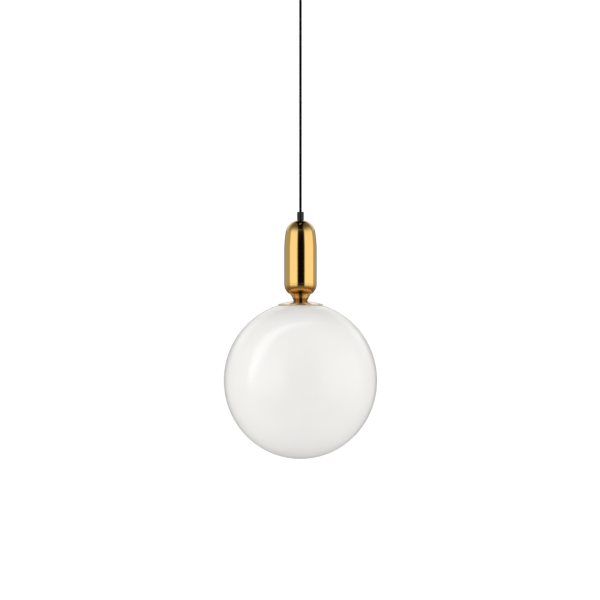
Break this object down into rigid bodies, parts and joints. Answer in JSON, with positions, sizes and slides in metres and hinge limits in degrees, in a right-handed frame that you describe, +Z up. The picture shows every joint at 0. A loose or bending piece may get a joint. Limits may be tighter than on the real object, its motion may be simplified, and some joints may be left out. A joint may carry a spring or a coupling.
{
  "type": "pendant ceiling light",
  "caption": "Pendant light: an opal glass globe under a polished brass capsule, hung on a round black cord from a brass ceiling canopy.",
  "frame": {"origin": "on the ceiling, in the middle of the bracket, over the cord's axis", "axes": "+Z up into the ceiling along the cord, X along the ceiling bracket, -Y towards the viewer"},
  "size_m": [0.3002, 0.3002, 0.9583],
  "materials": {
    "polished_brass": "mirror polished brass, lacquered",
    "opal_glass": "glossy white opal glass",
    "braided_cord": "tight black textile braid",
    "grip_nylon": "moulded dark grey nylon",
    "zinc_steel": "zinc-plated steel",
    "bush_rubber": "soft black rubber",
    "gasket_silicone": "translucent silicone",
    "terminal_nylon": "natural nylon",
    "contact_brass": "plain pressed brass",
    "spun_aluminium": "turned aluminium",
    "holder_bakelite": "moulded black thermoset",
    "insert_ceramic": "white glazed ceramic",
    "live_insulation": "brown insulation",
    "neutral_insulation": "blue insulation",
    "bulb_cap_metal": "nickel-plated cap",
    "bulb_black_glass": "black vitrite",
    "bulb_white_plastic": "white moulded plastic",
    "bulb_opal": "frosted opal polycarbonate",
    "led_yellow": "phosphor-coated chip",
    "driver_green": "circuit board with a coil"
  },
  "bodies": {
    "ceiling_fixing": {"ceiling_bracket": "zinc_steel", "bracket_side_screws": "zinc_steel"},
    "canopy": {"canopy_cup": "polished_brass", "canopy_cord_grip": "grip_nylon", "canopy_grip_screw": "grip_nylon", "canopy_grip_nut": "zinc_steel", "terminal_plate": "zinc_steel", "terminal_block": "terminal_nylon", "terminal_clamps": "contact_brass", "terminal_screws": "zinc_steel", "block_fixing_screw": "zinc_steel", "ceiling_cord_tail": "braided_cord", "ceiling_lead_live": "live_insulation", "ceiling_lead_neutral": "neutral_insulation"},
    "bush": {"cord_bush": "bush_rubber"},
    "cord": {"power_cord": "braided_cord"},
    "lamp": {"lamp_cord_grip": "grip_nylon", "lamp_grip_screw": "grip_nylon", "lamp_cord_tail": "braided_cord", "capsule_shell": "polished_brass", "capsule_base": "polished_brass", "threaded_tube": "zinc_steel", "foot_cone": "polished_brass", "globe_cap": "polished_brass", "cap_gasket": "gasket_silicone", "globe_gallery": "spun_aluminium", "gallery_washer": "zinc_steel", "gallery_lock_nut": "zinc_steel", "holder_cap": "holder_bakelite", "holder_skirt": "holder_bakelite", "holder_insert": "insert_ceramic", "holder_screw_shell": "contact_brass", "holder_centre_contact": "contact_brass", "holder_side_contact": "contact_brass", "holder_terminal_screws": "zinc_steel", "holder_lead_live": "live_insulation", "holder_lead_neutral": "neutral_insulation"},
    "globe": {"glass_globe": "opal_glass", "globe_collar": "spun_aluminium"},
    "bulb": {"bulb_base": "bulb_cap_metal", "bulb_insulator": "bulb_black_glass", "bulb_contact": "contact_brass", "bulb_body": "bulb_white_plastic", "bulb_driver": "driver_green", "bulb_led_board": "spun_aluminium", "bulb_led_chips": "led_yellow", "bulb_envelope": "bulb_opal"}
  },
  "joints": [
    {"name": "canopy_lower", "type": "slide", "parent": "ceiling_fixing", "child": "canopy", "axis": [0, 0, -1], "range_m": [0, 0.04]},
    {"name": "cord_twist", "type": "hinge", "parent": "canopy", "child": "bush", "pos_m": [0, 0, -0.0408], "axis": [0, 0, 1], "range_deg": [-180, 180]},
    {"name": "cord_swing", "type": "hinge", "parent": "bush", "child": "cord", "pos_m": [0, 0, -0.0408], "axis": [1, 0, 0], "range_deg": [-20, 20]},
    {"name": "lamp_tilt", "type": "hinge", "parent": "cord", "child": "lamp", "pos_m": [0, 0, -0.4783], "axis": [0, 1, 0], "range_deg": [-15, 15]},
    {"name": "globe_off", "type": "slide", "parent": "lamp", "child": "globe", "axis": [0, 0, -1], "range_m": [0, 0.16]},
    {"name": "bulb_out", "type": "slide", "parent": "lamp", "child": "bulb", "axis": [0, 0, -1], "range_m": [0, 0.03]}
  ]
}
